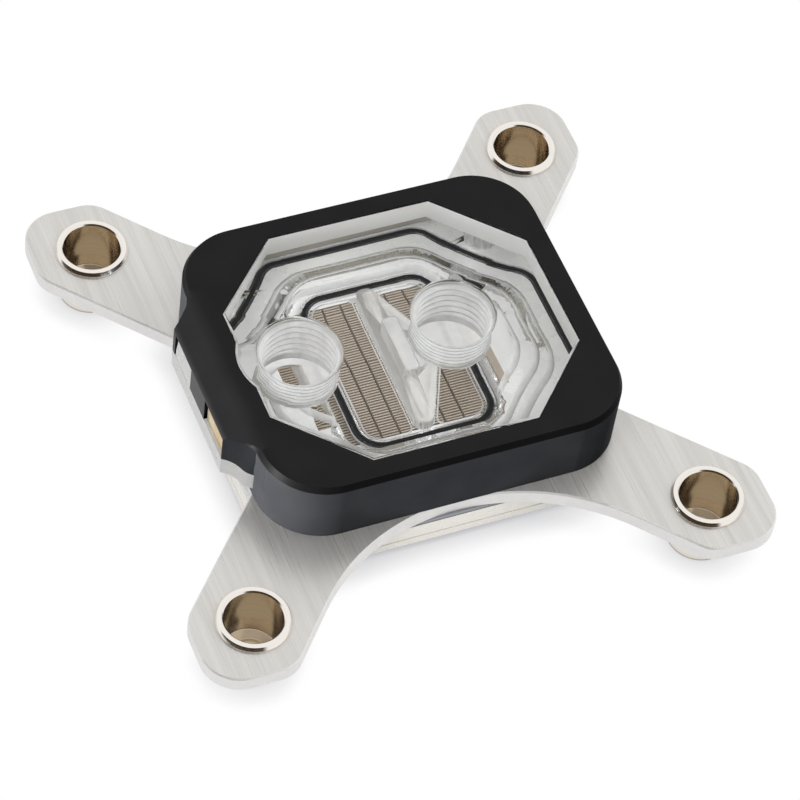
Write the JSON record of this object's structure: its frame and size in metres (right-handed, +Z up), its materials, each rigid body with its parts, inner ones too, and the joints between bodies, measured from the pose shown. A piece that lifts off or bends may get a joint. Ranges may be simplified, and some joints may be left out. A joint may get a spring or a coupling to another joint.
{
  "type": "cpu water block",
  "caption": "Liquid cooling block for a processor: finned plate under a clear cover with threaded ports, black frame with a sloped hood, and a steel cross with deep flanged bushes.",
  "frame": {"origin": "on the surface that the four bushes stand on, midway between them", "axes": "+Z up out of the ports, +X away from the sloped hood, +Y to the rear"},
  "size_m": [0.0942, 0.0942, 0.0212],
  "materials": {
    "black_frame": "black anodised, fine satin",
    "clear_plastic": "clear acrylic, polished",
    "guide_plastic": "clear plastic, lightly frosted",
    "plated_copper": "copper with bright nickel plating",
    "black_rubber": "smooth rubber",
    "brushed_steel": "stainless steel, fine diagonal brushing",
    "bright_nickel": "turned, bright nickel",
    "screw_steel": "zinc plated steel",
    "strip_film": "flexible circuit film",
    "chip_white": "moulded white"
  },
  "bodies": {
    "root": {"top_frame": "black_frame", "clear_cover": "clear_plastic", "flow_nozzle": "clear_plastic", "light_guide": "guide_plastic", "cold_plate": "plated_copper", "outer_seal": "black_rubber", "inner_seal": "black_rubber", "mounting_bracket": "brushed_steel", "rear_left_bush": "bright_nickel", "rear_right_bush": "bright_nickel", "front_left_bush": "bright_nickel", "front_right_bush": "bright_nickel", "rear_left_screw": "screw_steel", "rear_right_screw": "screw_steel", "front_left_screw": "screw_steel", "front_right_screw": "screw_steel", "light_strip": "strip_film", "light_chip_first": "chip_white", "light_chip_second": "chip_white", "light_chip_third": "chip_white", "light_chip_fourth": "chip_white"}
  },
  "joints": []
}
